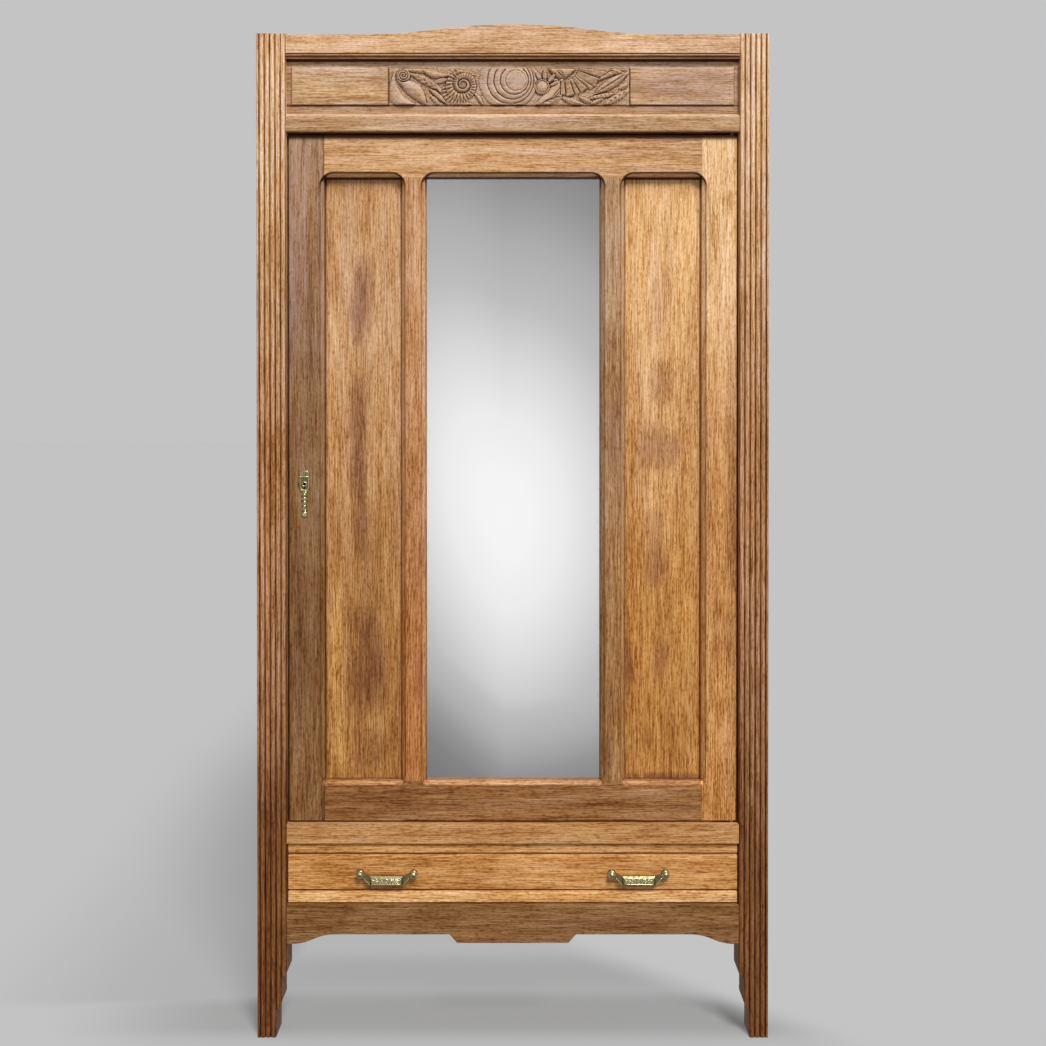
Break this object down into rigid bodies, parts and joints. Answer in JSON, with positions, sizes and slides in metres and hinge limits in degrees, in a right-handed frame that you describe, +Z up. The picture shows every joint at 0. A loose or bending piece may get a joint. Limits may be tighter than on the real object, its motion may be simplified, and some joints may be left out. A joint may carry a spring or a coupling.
{
  "type": "wardrobe cabinet",
  "caption": "Narrow oak wardrobe with a mirrored panelled door, reeded corner posts, low arched crest, shelves and a drawer below.",
  "frame": {"origin": "on the floor, under the middle of the case", "axes": "+Z up, +X to the right as one faces the door, the door faces -Y"},
  "size_m": [1.01, 0.478, 2],
  "materials": {
    "oak": "satin waxed oak",
    "oak_veneer": "satin waxed oak veneer",
    "inner_wood": "plain sawn wood, dry",
    "mirror": "silvered glass",
    "brass": "aged cast brass",
    "steel": "dull steel"
  },
  "bodies": {
    "case": {"front_post_left": "oak", "front_post_right": "oak", "back_post_left": "oak", "back_post_right": "oak", "side_top_rail_left": "oak", "side_top_rail_right": "oak", "side_bottom_rail_left": "oak", "side_bottom_rail_right": "oak", "side_panel_left": "oak_veneer", "side_panel_right": "oak_veneer", "crest_rail": "oak", "crest_moulding": "oak", "frieze_board": "oak", "frieze_carving": "oak", "frieze_rail": "oak", "waist_rail": "oak", "apron": "oak", "top_board": "inner_wood", "floor_board": "inner_wood", "back_top_rail": "inner_wood", "back_bottom_rail": "inner_wood", "back_muntin": "inner_wood", "back_panel_left": "inner_wood", "back_panel_right": "inner_wood", "drawer_runner_left": "inner_wood", "drawer_runner_right": "inner_wood", "floor_bearer_left": "inner_wood", "floor_bearer_right": "inner_wood", "shelf_lower": "inner_wood", "shelf_middle": "inner_wood", "shelf_upper": "inner_wood", "shelf_battens": "inner_wood", "door_stop": "inner_wood", "case_pivots": "steel", "strike_plate": "brass"},
    "door": {"door_stile_lock": "oak", "door_stile_hinge": "oak", "door_top_rail": "oak", "door_bottom_rail": "oak", "door_muntin_left": "oak", "door_muntin_right": "oak", "door_panel_left": "oak_veneer", "door_panel_right": "oak_veneer", "mirror_glass": "mirror", "mirror_backboard": "inner_wood", "door_beads": "inner_wood", "door_pivot_plates": "steel", "escutcheon": "brass", "lock_case": "steel"},
    "lock_bolt": {"lock_bolt": "steel"},
    "drawer": {"drawer_front": "oak", "drawer_side_left": "inner_wood", "drawer_side_right": "inner_wood", "drawer_back": "inner_wood", "drawer_bottom": "inner_wood", "pull_bosses": "brass"},
    "bail_left": {"pull_bail_left": "brass"},
    "bail_right": {"pull_bail_right": "brass"}
  },
  "joints": [
    {"name": "door_swing", "type": "hinge", "parent": "case", "child": "door", "pos_m": [0.435, -0.215, 0.422], "axis": [0, 0, 1], "range_deg": [0, 100]},
    {"name": "lock_bolt_slide", "type": "slide", "parent": "door", "child": "lock_bolt", "axis": [-1, 0, 0], "range_m": [0, 0.008]},
    {"name": "drawer_slide", "type": "slide", "parent": "case", "child": "drawer", "axis": [0, -1, 0], "range_m": [0, 0.33]},
    {"name": "left_bail_swing", "type": "hinge", "parent": "drawer", "child": "bail_left", "pos_m": [-0.249, -0.2365, 0.323], "axis": [-1, 0, 0], "range_deg": [0, 85]},
    {"name": "right_bail_swing", "type": "hinge", "parent": "drawer", "child": "bail_right", "pos_m": [0.249, -0.2365, 0.323], "axis": [-1, 0, 0], "range_deg": [0, 85]}
  ]
}
